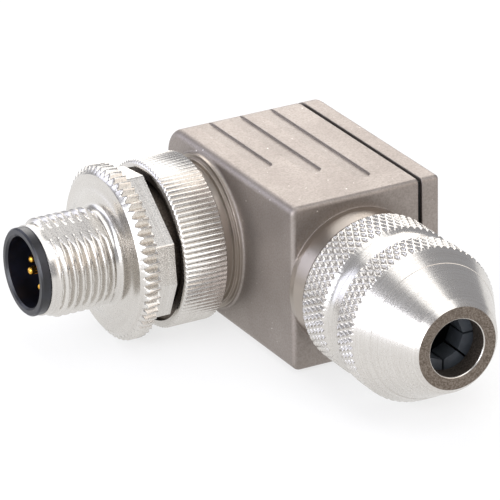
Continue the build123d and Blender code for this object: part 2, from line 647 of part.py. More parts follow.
def clamp_cage():
    """Plastic cage whose fingers close on the cable."""
    collar_front = CAGE_COLLAR_REAR + CAGE_COLLAR_THICKNESS
    outline = [(CAGE_REAR, CAGE_BORE_R), (CAGE_REAR, CAGE_R), (CAGE_COLLAR_REAR, CAGE_R)]
    outline += [(CAGE_COLLAR_REAR, CAGE_COLLAR_R), (collar_front, CAGE_COLLAR_R)]
    outline += [(collar_front, CAGE_R), (NUT_CAVITY_CONE, CAGE_R), (CAGE_TIP, CAGE_TIP_R)]
    outline += [(CAGE_TIP, 0), (CAGE_SHOULDER, 0), (CAGE_SHOULDER, CAGE_BORE_R)]
    body = turned_cable(outline)
    corner_r = CAGE_MOUTH_R / math.cos(math.pi / CAGE_FINGERS)
    mouth = Plane.XZ * RegularPolygon(corner_r, CAGE_FINGERS)
    mouth_rear = BLOCK_FRONT_Y - CAGE_SHOULDER + CUT
    body -= Pos(CABLE_X, mouth_rear, 0) * extrude(mouth, CAGE_TIP - CAGE_SHOULDER + 2 * CUT)
    outwards = (Align.MIN, Align.MAX, Align.CENTER)
    slit = Box(CAGE_COLLAR_R, CAGE_TIP - CAGE_SLIT_START + CUT, CAGE_SLIT, align=outwards)
    slit = Pos(CAGE_MOUTH_R - LOOSE_GAP, 0, 0) * slit
    start = Pos(CABLE_X, BLOCK_FRONT_Y - CAGE_SLIT_START, 0)
    for i in range(CAGE_FINGERS):
        body -= start * Rot(0, 360 / CAGE_FINGERS * i, 0) * slit
    return body


def cable_seal():
    """Rubber sleeve inside the cage."""
    outline = [(SEAL_REAR, SEAL_BORE_R), (SEAL_REAR, SEAL_R), (SEAL_FRONT, SEAL_R), (SEAL_FRONT, SEAL_BORE_R)]
    return turned_cable(outline)


def shield_ring():
    """Metal ring that clamps the cable's screen."""
    rear = STUB_FLOOR + SEAT_GAP
    front = rear + SHIELD_RING_THICKNESS
    outer = STUB_BORE_R - LOOSE_GAP
    flared = SHIELD_RING_BORE_R + 0.8
    return turned_cable([(rear, SHIELD_RING_BORE_R), (rear, outer), (front, outer), (front, flared)])


def gland_seal():
    """Sealing ring at the root of the threaded stub."""
    centre = (RING_SEAL, STUB_R + RING_SEAL_R + RUN_GAP / 2)
    return turned_cable(arc_points(centre, RING_SEAL_R, 0, 300, 5))


def build_all():
    keep("housing", housing())
    keep("rear_cover", cover())
    keep("cover_gasket", gasket())
    keep("cover_screws", cover_screws())
    keep("contact_insert", contact_carrier())
    keep("insert_base", carrier_base())
    keep("insert_seal", carrier_seal())
    keep("terminal_block", terminal_block())
    keep("terminal_screws", terminal_screws())
    for number, place in enumerate(pin_places(), start=1):
        setback = CENTRE_PIN_SETBACK if number == len(pin_places()) else PIN_SETBACK
        keep("contact_pin_" + str(number), contact_pin(place, setback))
    keep("coupling_screw", coupling_screw())
    keep("coupling_circlip", circlip())
    keep("union_ring", union_ring())
    keep("union_ring_washer", ring_washer())
    keep("gland_nut", gland_nut())
    keep("gland_washer", gland_washer())
    keep("clamp_cage", clamp_cage())
    keep("cable_seal", cable_seal())
    keep("shield_ring", shield_ring())
    keep("gland_seal", gland_seal())


build_all()
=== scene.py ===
import math

import bmesh
import bpy
import numpy as np
from bpy.props import FloatProperty, FloatVectorProperty, IntProperty, PointerProperty
from mathutils import Matrix, Vector


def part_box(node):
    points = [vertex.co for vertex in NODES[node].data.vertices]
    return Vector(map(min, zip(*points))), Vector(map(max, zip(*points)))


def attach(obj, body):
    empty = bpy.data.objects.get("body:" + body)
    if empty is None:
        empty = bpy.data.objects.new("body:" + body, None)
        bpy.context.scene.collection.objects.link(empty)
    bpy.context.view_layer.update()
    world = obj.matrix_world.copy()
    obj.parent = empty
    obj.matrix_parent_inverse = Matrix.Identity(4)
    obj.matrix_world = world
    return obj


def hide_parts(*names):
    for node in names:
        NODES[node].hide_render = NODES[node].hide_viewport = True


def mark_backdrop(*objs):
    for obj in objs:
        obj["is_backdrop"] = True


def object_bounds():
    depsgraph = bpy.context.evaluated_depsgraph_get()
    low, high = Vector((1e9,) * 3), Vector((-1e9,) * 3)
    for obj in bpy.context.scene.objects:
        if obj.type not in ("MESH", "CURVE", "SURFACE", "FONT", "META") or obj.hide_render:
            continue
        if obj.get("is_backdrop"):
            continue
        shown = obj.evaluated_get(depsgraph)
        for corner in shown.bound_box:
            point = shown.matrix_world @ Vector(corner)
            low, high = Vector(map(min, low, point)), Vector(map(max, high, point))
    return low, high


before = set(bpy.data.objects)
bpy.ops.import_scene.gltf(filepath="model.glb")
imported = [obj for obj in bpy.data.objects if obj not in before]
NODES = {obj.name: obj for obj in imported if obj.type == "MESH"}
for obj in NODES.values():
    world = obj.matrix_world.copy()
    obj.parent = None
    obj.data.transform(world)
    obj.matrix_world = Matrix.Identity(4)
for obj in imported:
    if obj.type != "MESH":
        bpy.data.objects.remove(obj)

bl_info = {
    "name": "Right-angled sensor connector",
    "blender": (4, 5, 0),
    "version": (1, 0, 0),
    "location": "View3D > Sidebar > Connector",
    "description": "Dresses the solid model of a right-angled circular sensor connector",
    "category": "Object",
}

MILLIMETRE = 0.001
FULL_TURN = 2 * math.pi
CABLE_AXIS_X = sum(corner.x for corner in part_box("gland_nut")) / 2

# Patterns of the surfaces, in features per millimetre. The real grains are too fine to show in the
# render, so each is drawn as coarse as it needs to show.
BLASTED_GRAIN = 4.5  # grains of the blasted zinc, 0.22 mm wide
PAINTED_GLINT_SPECK = 0.9  # painted glints, one bright speck for every 1.1 mm
PAINTED_GLINT_FLECK = 1.7  # painted glints, bright flecks about 0.6 mm wide
CAST_CLOUD = 0.15  # patches of shade 7 mm wide
TURNING_MARK = 6.0  # lathe marks 0.17 mm apart
TURNED_GRAIN = 5.0  # satin grain 0.2 mm wide
FACED_GRAIN = 6.0  # sandy grain 0.17 mm wide
GOLD_CLOUD = 2.5  # patches of thinner gold 0.4 mm wide
MOULDED_GRAIN = 7.0  # spark-eroded grain 0.14 mm wide
PAINTED_SHEEN_CLOUD = 0.6  # painted sheen, paler patches 1.7 mm wide
PAPER_CLOUD = 0.05  # patches of shade 20 mm wide
ALONG_A_MARK = 0.01  # how far a lathe mark varies round its circle, as a share of across
POLYMER_IOR = 1.53

# Forms that are too fine to be sizes of a piece
SHARP_ANGLE = math.radians(38)  # edges that are sharper than this look sharp
BEYOND = 1.0  # a radius past every piece, in metres
FACING_CHANNEL = 0.5  # cosine within which the channel can cut the thread
FACING_FLAT = 0.3  # cosine within which a wrench flat can cut the corner
DOME_START = 0.3  # share of the dome's drop at its inner edge
PIN_CORE = 0.02  # radius in millimetres of the hair-thin bore that closes a pin's surface
SLACK = 0.01  # allowance in millimetres where faces are picked by their place
RINGS_OF_THREAD = 112
CREST_FLAT = 1 / 16  # share of the pitch
FLANK_END = 5 / 12  # share of the pitch
FLANK_BOW = 0.06  # share of the depth
RUN_OUT_SLOPE = 1.2
TOOTH_SHAPE = (1.3, 0.1)  # zigzag times the first, less the second, clipped to 0 and 1
RIDGE_SHAPE = (1.2, 0.05)
KNURL_SHAPE = (1.5, 0.2)
WRENCH_CORNERS = (8.5, 68.5, 98.5, 128.5, 188.5, 218.5, 248.5, 308.5, 338.5)
FILLET_STEPS = 6
LIP_STEPS = 5
COUPLING_STEPS = 480
STEPS_PER_RIDGE = 8
STEPS_PER_DIAMOND = 8
PIN_STEPS = 20

# Name, direction from the part, radiance and tint of each softbox; lengths of the stage in metres
LAMPS = (
    ("back_right", (0.437, 0.805, 0.45), 2.55, "#FFFBF6"),
    ("back_high", (0.1, 0.7, 0.9), 1.4, "#FFFFFF"),
    ("top", (0.0, 0.0, 1.0), 1.5, "#FFFFFF"),
    ("low_left", (-0.65, 0.75, 0.2), 1.8, "#E8ECFF"),
    ("left", (-1.0, -0.1, 0.3), 3.2, "#EEF2FF"),
    ("front_left", (-0.8, -0.5, 0.3), 4.0, "#F8F9FF"),
    ("front_high", (0.15, -0.55, 0.85), 1.9, "#FFFFFF"),
    ("front_right", (0.6, -0.75, 0.3), 1.2, "#FFF3E6"),
)
SOFTBOX_SIDE = 0.5
SOFTBOX_DISTANCE = 0.75
WORLD_TINT = "#F7F8FF"
WORLD_STRENGTH = 0.45
FLOOR_SIDE = 6
FLOOR_WHITE = 0.7  # share of plain white in what the camera sees of the floor
WHITE = "#FFFFFF"

# The photograph's camera, in degrees, millimetres from the origin, and pixels of the picture
CAMERA_AZIMUTH = -28.502
CAMERA_ELEVATION = 23.697
CAMERA_ROLL = -0.968
CAMERA_DISTANCE = 552.7
CAMERA_FOCAL_PIXELS = 4700.0
CAMERA_TARGET = (19.461, -9.997, 0.202)
CAMERA_SHIFT_PIXELS = (-2.99, 5.83)
CAMERA_CLIP = (0.01, 20)  # metres
PHOTO_SIDE = 500.0
SENSOR_WIDTH = 36.0  # millimetres


def mm(value):
    """Millimetres as Blender units."""
    return value * MILLIMETRE


def length(name, description, value):
    """A length property whose default is written in millimetres."""
    return FloatProperty(
        name=name, description=description, default=mm(value), unit="LENGTH", precision=6
    )


def linear(code):
    """An sRGB hex code as a linear colour."""
    parts = [int(code[i:i + 2], 16) / 255 for i in (1, 3, 5)]
    return tuple(p / 12.92 if p <= 0.04045 else ((p + 0.055) / 1.055) ** 2.4 for p in parts)


def colour(name, description, code):
    """A colour property whose default is an sRGB hex code."""
    return FloatVectorProperty(
        name=name, description=description, default=linear(code),
        subtype="COLOR", size=3, min=0, max=1,
    )


class CouplingSizes(bpy.types.PropertyGroup):
    """Coupling screw: thread, toothed flange and wrench flats."""

    thread_radius: length("Thread radius", "Major radius of the coupling thread", 6.0)
    thread_pitch: length("Thread pitch", "Advance of the thread per turn", 1.0)
    thread_depth: length("Thread depth", "Crest to root", 0.6)
    thread_half: length("Thread half length", "From the origin to either end of the thread", 3.3)
    first_crest: length("First crest", "Place of the first crest at the top of the thread", -3.01)
    lead_radius: length("Lead radius", "Plain end in front of the thread", 5.45)
    lead_chamfer: length("Lead chamfer", "Length of the run-in cone", 0.35)
    run_out: length("Run-out", "Length of the thread's shallow end at the flange", 0.35)
    bore_radius: length("Bore radius", "Hole for the contact carrier", 5.17)
    channel_depth: length("Channel distance", "From the axis to the smooth channel", 5.34)
    undercut_radius: length("Undercut radius", "Relief behind the thread", 5.6)
    root_fillet: length("Root fillet", "Fillet into the flange", 0.8)
    flange_face: length("Flange face", "Front face of the toothed flange", 4.5)
    flat_radius: length("Flat radius", "Outer radius of the flange's flat face", 7.7)
    dome_radius: length("Dome radius", "Outer radius of the flange's slightly domed band", 9.62)
    dome_drop: length("Dome drop", "How far the dome falls back", 0.2)
    bevel_rear: length("Bevel rear", "Where the bevel meets the tooth tips", 5.45)
    tooth_tip: length("Tooth tip radius", "Outer radius of the teeth", 10.62)
    tooth_root: length("Tooth root radius", "Bottom of the teeth", 9.98)
    tooth_rear: length("Tooth rear", "Rear face of the teeth", 6.95)
    wrench_radius: length("Wrench corner radius", "Corners of the wrench flats", 9.62)
    wrench_rear: length("Wrench rear", "Rear face of the wrench flats", 9.7)
    wrench_bevel: length("Wrench bevel", "Bevel at the rear of the wrench flats", 0.12)
    sleeve_radius: length("Sleeve radius", "Sleeve that runs inside the union ring", 7.6)
    sleeve_bore: length("Sleeve bore", "Inner radius of the sleeve", 6.4)
    sleeve_bore_front: length("Sleeve bore front", "Where the wider bore starts", 9.4)
    channel_angle: FloatProperty(
        name="Channel angle", description="Turn of the channel from the top",
        default=math.radians(20), subtype="ANGLE",
    )
    teeth: IntProperty(name="Teeth", description="Teeth round the flange", default=60)


class RingSizes(bpy.types.PropertyGroup):
    """Union ring behind the coupling screw."""

    tip_radius: length("Ridge tip radius", "Outer radius of the ridges", 10.24)
    root_radius: length("Ridge root radius", "Bottom of the ridges", 9.98)
    bevel: length("Bevel", "Bevel at both ends", 0.3)
    bevel_height: length("Bevel height", "How far below the ridges' root the bevel starts", 0.22)
    mouth_radius: length("Mouth radius", "Recess in the front face", 9.3)
    lip_front: length("Lip front", "Front of the inner lip, behind the ring's front", 0.56)
    lip_rear: length("Lip rear", "Rear of the inner lip, behind the ring's front", 1.66)
    foot_rear: length("Foot rear", "End of the washer's foot, behind the ring's front", 2.36)
    lip_radius: length("Lip radius", "Hole for the sleeve", 7.95)
    foot_radius: length("Foot radius", "Clearance round the spring ring", 8.42)
    thread_radius: length("Thread radius", "Inner thread on the housing's neck", 8.9)
    ridges: IntProperty(name="Ridges", description="Straight ridges round the ring", default=100)


class NutSizes(bpy.types.PropertyGroup):
    """Gland nut, radii and distances in front of its rear face."""

    seal_radius: length("Seal recess radius", "Recess for the sealing ring", 8.75)
    seal_end: length("Seal recess end", "End of that recess", 1.35)
    edge_radius: length("Edge radius", "Rear edge", 9.2)
    band_radius: length("First band radius", "Outer radius of the first knurled band", 9.45)
    second_radius: length("Second band radius", "Outer radius of the second knurled band", 9.52)
    waist_radius: length("Waist radius", "Smooth waist between the bands", 9.0)
    knurl_pitch: length("Knurl pitch", "Width of one diamond", 0.95)
    knurl_depth: length("Knurl depth", "Height of the ridges", 0.34)
    knurl_bevel: length("Knurl bevel", "Length of the bevel at both ends of a band", 0.25)
    knurl_drop: length("Knurl drop", "Height of that bevel", 0.2)
    band_start: length("Band start", "First knurl starts", 0.3)
    band_end: length("Band end", "First knurl ends", 5.3)
    waist_rear: length("Waist rear", "Smooth waist starts", 6.0)
    waist_line: length("Waist line", "Fine turned line on the waist", 6.8)
    waist_front: length("Waist front", "Smooth waist ends", 7.95)
    second_start: length("Second band start", "Second knurl starts", 8.25)
    second_end: length("Second band end", "Second knurl ends", 11.95)
    cone_step: length("Cone step", "Fine step on the cone", 13.9)
    nose: length("Nose", "Cone ends", 18.42)
    tip: length("Tip", "Flat face of the nose", 19.26)
    nose_radius: length("Nose radius", "Outer radius where the cone ends", 5.82)
    tip_radius: length("Tip radius", "Outer radius of the nose's flat face", 5.05)
    cone_radius: length("Cone radius", "Outer radius where the cone starts", 9.35)
    bore_radius: length("Bore radius", "Mouth for the cable", 3.5)
    lip: length("Lip", "Rounding of the mouth", 0.2)
    thread_radius: length("Thread radius", "Inner thread on the stub", 8.05)
    shoulder: length("Shoulder", "Inner end of the thread", 10.1)
    cavity_radius: length("Cavity radius", "Room for the clamping cage", 7.05)
    cavity_cone: length("Cavity cone", "Where the room starts to narrow", 11.15)
    cavity_end: length("Cavity end", "Where the room stops narrowing", 16.2)
    cavity_end_radius: length("Cavity end radius", "Radius at its narrow end", 5.1)
    bore_end: length("Bore end", "Inner end of the mouth", 16.9)


class PinSizes(bpy.types.PropertyGroup):
    """Contact pins."""

    radius: length("Pin radius", "Half of the contact's diameter", 0.5)
    tip_length: length("Tip length", "Length of the rounded tip", 0.4)
    shoulder_radius: length("Shoulder radius", "Part held in the carrier", 0.75)
    shoulder: length("Shoulder", "Where the thicker part starts", 13.7)


class Finish(bpy.types.PropertyGroup):
    """Colours of the materials."""

    cast: colour("Cast nickel", "Satin nickel on bead-blasted zinc die casting", "#A59D97")
    cast_dark: colour("Cast nickel shade", "Darker grains of the blasted surface", "#857C76")
    # Painted glints: bright specks and flecks that stand in for light caught by the blasted nickel
    painted_glint: colour("Painted glint", "Painted glints on the blasted surface", "#F4EEE8")
    bright: colour("Bright nickel", "Bright nickel on turned brass", "#DAD7D2")
    bright_dark: colour("Bright nickel shade", "Duller streaks of the turned surface", "#A89F96")
    # Painted shade: darker nickel for faced ends and recesses, standing in for their shade
    painted_shade: colour("Faced nickel", "Nickel with painted shade on faced ends and in recesses", "#8D8379")
    painted_shade_dark: colour("Faced nickel shade", "Darker grains of the faced surface", "#5F554C")
    gold: colour("Gold", "Thin gold plating on the contacts", "#E9B64E")
    gold_dark: colour("Gold shade", "Thinner gold over nickel", "#B98431")
    # Painted sheen: the paler second colour of each plastic and of the rubber stands in for sheen
    black: colour("Black plastic", "Black glass-filled polyamide", "#09090F")
    black_painted_sheen: colour("Black plastic sheen", "Painted sheen, paler patches on the plastic", "#131520")
    slate: colour("Slate plastic", "Grey polyamide of the clamping cage", "#474C52")
    slate_painted_sheen: colour("Slate plastic sheen", "Painted sheen, paler patches on the cage", "#53595F")
    rubber: colour("Rubber", "Black nitrile rubber", "#121212")
    rubber_painted_sheen: colour("Rubber painted sheen", "Painted sheen, paler patches on the rubber", "#1D1D1E")
    floor: colour("Floor", "Pale matt floor", "#F6F6F6")
    floor_shade: colour("Floor shade", "Faint patches of the floor", "#E0E0E0")


def add_node(tree, kind, inputs, **settings):
    """Adds a shader node with its settings, and gives its inputs, by name or number, their values.

    A socket given as a value is linked, and a node stands for its first output in use.
    """
    node = tree.nodes.new("ShaderNode" + kind)
    for name, value in settings.items():
        setattr(node, name, value)
    for name, value in inputs.items():
        if isinstance(value, bpy.types.Node):
            value = next(output for output in value.outputs if output.enabled)
        if isinstance(value, bpy.types.NodeSocket):
            tree.links.new(value, node.inputs[name])
        else:
            node.inputs[name].default_value = value
    return node


def rgba(value):
    """A colour with full opacity, as the sockets take it."""
    return (value[0], value[1], value[2], 1.0)


def new_material(name):
    """A material and its node tree, which is empty."""
    material = bpy.data.materials.new(name)
    material.use_nodes = True
    material.node_tree.nodes.clear()
    return material, material.node_tree


def place_texture(tree, stretch=(1, 1, 1)):
    """Object coordinates in millimetres, stretched per axis."""
    where = add_node(tree, "TexCoord", {})
    scale = [share / MILLIMETRE for share in stretch]
    return add_node(tree, "Mapping", {"Vector": where.outputs["Object"], "Scale": scale})


def cast_nickel(finish):
    """Satin nickel on bead-blasted zinc die casting.

    The eye sees a matt grain and worn, rounded edges; its bright specks and flecks are painted
    glints.
    The collar and the neck are turned, so they look smoother and brighter than the blasted faces.
    """
    material, tree = new_material("Nickel-plated zinc die casting, bead-blasted")
    where = place_texture(tree)
    dark, painted_glint = rgba(finish.cast_dark), rgba(finish.painted_glint)

    cloud = add_node(tree, "TexNoise", {"Vector": where, "Scale": CAST_CLOUD, "Detail": 3.0})
    even = add_node(
        tree, "MapRange", {"Value": cloud, "From Min": 0.35, "From Max": 0.65, "To Min": 0.6}
    )
    shade = add_node(
        tree, "Mix", {"Factor": even, "A": dark, "B": rgba(finish.cast)}, data_type="RGBA"
    )

    grain = add_node(
        tree, "TexNoise",
        {"Vector": where, "Scale": BLASTED_GRAIN, "Detail": 3.0, "Roughness": 0.65},
    )
    pits = add_node(
        tree, "MapRange", {"Value": grain, "From Min": 0.58, "From Max": 0.36, "To Max": 0.45}
    )
    shade = add_node(tree, "Mix", {"Factor": pits, "A": shade, "B": dark}, data_type="RGBA")

    # Painted glints: bright specks and flecks mixed into the colour stand in for light caught by
    # the blasted nickel; they also raise the bump
    cells = add_node(tree, "TexVoronoi", {"Vector": where, "Scale": PAINTED_GLINT_SPECK})
    near = add_node(
        tree, "MapRange",
        {
            "Value": cells.outputs["Distance"], "From Min": 0.06, "From Max": 0.11,
            "To Min": 1.0, "To Max": 0.0,
        },
    )
    chosen = add_node(
        tree, "MapRange", {"Value": cells.outputs["Color"], "From Min": 0.62, "From Max": 0.8}
    )
    painted_glint_specks = add_node(tree, "Math", {0: near, 1: chosen}, operation="MULTIPLY")
    shade = add_node(tree, "Mix", {"Factor": painted_glint_specks, "A": shade, "B": painted_glint}, data_type="RGBA")

    patches = add_node(
        tree, "TexNoise",
        {"Vector": where, "Scale": PAINTED_GLINT_FLECK, "Detail": 2.0, "Roughness": 0.6},
    )
    painted_glint_flecks = add_node(tree, "MapRange", {"Value": patches, "From Min": 0.745, "From Max": 0.785})
    shade = add_node(tree, "Mix", {"Factor": painted_glint_flecks, "A": shade, "B": painted_glint}, data_type="RGBA")

    turned = turned_share(tree, where)
    shade = add_node(
        tree, "Mix", {"Factor": turned, "A": shade, "B": rgba(finish.bright_dark)},
        data_type="RGBA",
    )
    blasted = add_node(
        tree, "MapRange",
        {"Value": grain, "From Min": 0.3, "From Max": 0.7, "To Min": 0.56, "To Max": 0.44},
    )
    rough = add_node(tree, "Mix", {"Factor": turned, "A": blasted, "B": 0.3})

    normal = add_node(tree, "Bevel", {"Radius": mm(0.22)}, samples=4)
    for height, distance, strength in ((grain, 0.012, 0.5), (painted_glint_specks, 0.02, 0.6), (painted_glint_flecks, 0.05, 0.6)):
        normal = add_node(
            tree, "Bump",
            {"Height": height, "Distance": mm(distance), "Strength": strength, "Normal": normal},
        )
    surface = add_node(
        tree, "BsdfPrincipled",
        {"Base Color": shade, "Metallic": 1.0, "Roughness": rough, "Normal": normal},
    )
    add_node(tree, "OutputMaterial", {"Surface": surface})
    return material


def turned_share(tree, where):
    """1 on the collar and the neck, which stand out of the square block, and 0 on its faces."""
    # The cover is as deep as the block, so its front edge is where the block's front face is.
    block_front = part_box("rear_cover")[0].y / MILLIMETRE
    # The neck ends in the block 2.2 mm behind the union ring.
    neck_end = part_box("union_ring")[1].x / MILLIMETRE + 2.2
    apart = add_node(tree, "SeparateXYZ", {"Vector": where})
    ends = (
        (apart.outputs["Y"], block_front - 0.02, block_front - 0.08),
        (apart.outputs["X"], neck_end + 0.1, neck_end),
    )
    collar, neck = [
        add_node(tree, "MapRange", {"Value": along, "From Min": cast, "From Max": turned})
        for along, cast, turned in ends
    ]
    return add_node(tree, "Math", {0: collar, 1: neck}, operation="MAXIMUM")


def turned_nickel(finish, name, along, rough_low=0.2, rough_high=0.3, sand=1.0):
    """Bright nickel on turned brass, or zinc on turned steel, which is duller.

    The eye sees unbroken fine rings round the axis and over them a satin grain, whose strength is
    sand.
    """
    material, tree = new_material(name)
    bright, dark = rgba(finish.bright), rgba(finish.bright_dark)
    stretch = [1.0 if axis == along else ALONG_A_MARK for axis in "XYZ"]
    marks = add_node(
        tree, "TexNoise",
        {
            "Vector": place_texture(tree, stretch), "Scale": TURNING_MARK,
            "Detail": 3.0, "Roughness": 0.6,
        },
    )
    grain = add_node(
        tree, "TexNoise",
        {
            "Vector": place_texture(tree), "Scale": TURNED_GRAIN,
            "Detail": 3.0, "Roughness": 0.65,
        },
    )
    streaks = add_node(
        tree, "MapRange",
        {"Value": marks, "From Min": 0.35, "From Max": 0.65, "To Min": 0.25, "To Max": 0.0},
    )
    shade = add_node(tree, "Mix", {"Factor": streaks, "A": bright, "B": dark}, data_type="RGBA")
    pits = add_node(
        tree, "MapRange",
        {"Value": grain, "From Min": 0.55, "From Max": 0.35, "To Max": 0.35 * sand},
    )
    shade = add_node(tree, "Mix", {"Factor": pits, "A": shade, "B": dark}, data_type="RGBA")
    rough = add_node(
        tree, "MapRange",
        {
            "Value": grain, "From Min": 0.35, "From Max": 0.65,
            "To Min": rough_high, "To Max": rough_low,
        },
    )
    normal = add_node(tree, "Bump", {"Height": marks, "Distance": mm(0.006), "Strength": 0.4})
    normal = add_node(
        tree, "Bump",
        {"Height": grain, "Distance": mm(0.012), "Strength": 0.5 * sand, "Normal": normal},
    )
    surface = add_node(
        tree, "BsdfPrincipled",
        {"Base Color": shade, "Metallic": 1.0, "Roughness": rough, "Normal": normal},
    )
    add_node(tree, "OutputMaterial", {"Surface": surface})
    return material


def painted_shade_nickel(finish):
    """Nickel in recesses and on faced ends, whose dark colour is painted shade: a sandy metal,
    hardly glossy.
    """
    material, tree = new_material("Nickel with painted shade on a faced end")
    grain = add_node(
        tree, "TexNoise",
        {
            "Vector": place_texture(tree), "Scale": FACED_GRAIN,
            "Detail": 3.0, "Roughness": 0.7,
        },
    )
    sandy = add_node(tree, "MapRange", {"Value": grain, "From Min": 0.4, "From Max": 0.62})
    shade = add_node(
        tree, "Mix", {"Factor": sandy, "A": rgba(finish.painted_shade_dark), "B": rgba(finish.painted_shade)},
        data_type="RGBA",
    )
    normal = add_node(tree, "Bump", {"Height": grain, "Distance": mm(0.02), "Strength": 0.5})
    surface = add_node(
        tree, "BsdfPrincipled",
        {"Base Color": shade, "Metallic": 1.0, "Roughness": 0.5, "Normal": normal},
    )
    add_node(tree, "OutputMaterial", {"Surface": surface})
    return material


def gold_plate(finish):
    """Gold over nickel on turned brass: the eye sees warm bright metal, redder where it is thin."""
    material, tree = new_material("Gold-plated turned brass")
    cloud = add_node(tree, "TexNoise", {"Vector": place_texture(tree), "Scale": GOLD_CLOUD})
    thick = add_node(tree, "MapRange", {"Value": cloud, "From Min": 0.3, "From Max": 0.6})
    shade = add_node(
        tree, "Mix", {"Factor": thick, "A": rgba(finish.gold_dark), "B": rgba(finish.gold)},
        data_type="RGBA",
    )
    rough = add_node(
        tree, "MapRange",
        {"Value": cloud, "From Min": 0.3, "From Max": 0.7, "To Min": 0.28, "To Max": 0.18},
    )
    surface = add_node(
        tree, "BsdfPrincipled", {"Base Color": shade, "Metallic": 1.0, "Roughness": rough}
    )
    add_node(tree, "OutputMaterial", {"Surface": surface})
    return material


def moulded_polymer(name, dark, painted_sheen, rough):
    """Moulded polyamide or rubber: the eye sees fine spark-eroded grain, with paler patches of
    painted sheen.
    """
    material, tree = new_material(name)
    where = place_texture(tree)
    grain = add_node(tree, "TexNoise", {"Vector": where, "Scale": MOULDED_GRAIN})
    cloud = add_node(tree, "TexNoise", {"Vector": where, "Scale": PAINTED_SHEEN_CLOUD})
    # Painted sheen: paler patches mixed into the colour
    painted_sheen_share = add_node(tree, "MapRange", {"Value": cloud, "From Min": 0.35, "From Max": 0.65})
    shade = add_node(
        tree, "Mix", {"Factor": painted_sheen_share, "A": rgba(dark), "B": rgba(painted_sheen)}, data_type="RGBA"
    )
    uneven = add_node(
        tree, "MapRange",
        {
            "Value": grain, "From Min": 0.3, "From Max": 0.7,
            "To Min": rough - 0.06, "To Max": rough + 0.06,
        },
    )
    normal = add_node(tree, "Bump", {"Height": grain, "Distance": mm(0.008), "Strength": 0.4})
    surface = add_node(
        tree, "BsdfPrincipled",
        {"Base Color": shade, "IOR": POLYMER_IOR, "Roughness": uneven, "Normal": normal},
    )
    add_node(tree, "OutputMaterial", {"Surface": surface})
    return material


def white_paper(finish):
    """Matt paper of the floor: the eye sees near-white with the part's soft shadow."""
    material, tree = new_material("Pale matt paper")
    cloud = add_node(tree, "TexNoise", {"Vector": place_texture(tree), "Scale": PAPER_CLOUD})
    faint = add_node(
        tree, "MapRange", {"Value": cloud, "From Min": 0.3, "From Max": 0.7, "To Max": 0.02}
    )
    shade = add_node(
        tree, "Mix", {"Factor": faint, "A": rgba(finish.floor), "B": rgba(finish.floor_shade)},
        data_type="RGBA",
    )
    paper = add_node(tree, "BsdfPrincipled", {"Base Color": shade, "Roughness": 0.9})
    # Plain white is mixed in only for the camera and for what metal and glass show of the floor.
    path = add_node(tree, "LightPath", {})
    seen = path.outputs["Is Camera Ray"]
    for ray in ("Is Glossy Ray", "Is Transmission Ray"):
        seen = add_node(tree, "Math", {0: seen, 1: path.outputs[ray]}, operation="ADD")
    white = add_node(tree, "Emission", {"Color": rgba(linear(WHITE)), "Strength": 1.0})
    share = add_node(tree, "MapRange", {"Value": seen, "To Max": FLOOR_WHITE})
    surface = add_node(tree, "MixShader", {0: share, 1: paper, 2: white})
    add_node(tree, "OutputMaterial", {"Surface": surface})
    return material


def lathe(name, rings, steps, place):
    """Closed smooth-shaded surface from (station, radius) rings.

    A radius may be a function of the angle; place turns stations, radii and angles into points.
    """
    angle = np.linspace(0, FULL_TURN, steps, endpoint=False)
    points = np.empty((len(rings), steps, 3))
    for i, (station, radius) in enumerate(rings):
        reach = radius(angle) if callable(radius) else np.full(steps, radius)
        points[i] = np.stack(place(np.full(steps, station), reach, angle), axis=1)
    here = np.arange(len(rings))[:, None] * steps + np.arange(steps)[None, :]
    after = np.roll(here, -1, axis=1)
    below = np.roll(here, -1, axis=0)
    beyond = np.roll(below, -1, axis=1)
    faces = np.stack([here, after, beyond, below], axis=2).reshape(-1, 4)
    mesh = bpy.data.meshes.new(name)
    mesh.from_pydata(points.reshape(-1, 3).tolist(), [], faces.tolist())
    mesh.validate()
    skin = bmesh.new()
    skin.from_mesh(mesh)
    bmesh.ops.recalc_face_normals(skin, faces=skin.faces)
    skin.to_mesh(mesh)
    skin.free()
    mesh.polygons.foreach_set("use_smooth", [True] * len(mesh.polygons))
    mesh.set_sharp_from_angle(angle=SHARP_ANGLE)
    piece = bpy.data.objects.new(name, mesh)
    bpy.context.scene.collection.objects.link(piece)
    return piece


def on_mating_axis(station, radius, angle):
    """Points round the mating axis, the angle counted from the top."""
    return station, -radius * np.sin(angle), radius * np.cos(angle)


def on_cable_axis(station, radius, angle):
    """Points round the cable axis, the angle counted from the top."""
    return CABLE_AXIS_X + radius * np.sin(angle), station, radius * np.cos(angle)


def zigzag(turns):
    """1 on every whole turn, 0 half-way between."""
    return np.abs(2 * (turns - np.floor(turns)) - 1)


def blunted(height, shape):
    """A zigzag with a flat crest and a flat root."""
    steeper, lower = shape
    return np.clip(height * steeper - lower, 0, 1)


def fillet(centre, radius, start, end, steps):
    """Rings along a quarter round; angles in degrees from the axis direction."""
    rings = []
    for i in range(steps + 1):
        turn = math.radians(start + (end - start) * i / steps)
        rings.append((centre[0] + radius * math.cos(turn), centre[1] + radius * math.sin(turn)))
    return rings


def dress(piece, body, material, node):
    """Gives a new piece its material and its body, and hides the solid node that it stands for."""
    piece.data.materials.append(material)
    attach(piece, body)
    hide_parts(node)


def paint_shade_on_faces(piece, material, chosen):
    """Gives a second material to the faces whose centre is chosen."""
    piece.data.materials.append(material)
    for face in piece.data.polygons:
        face.material_index = 1 if chosen(face.center) else 0


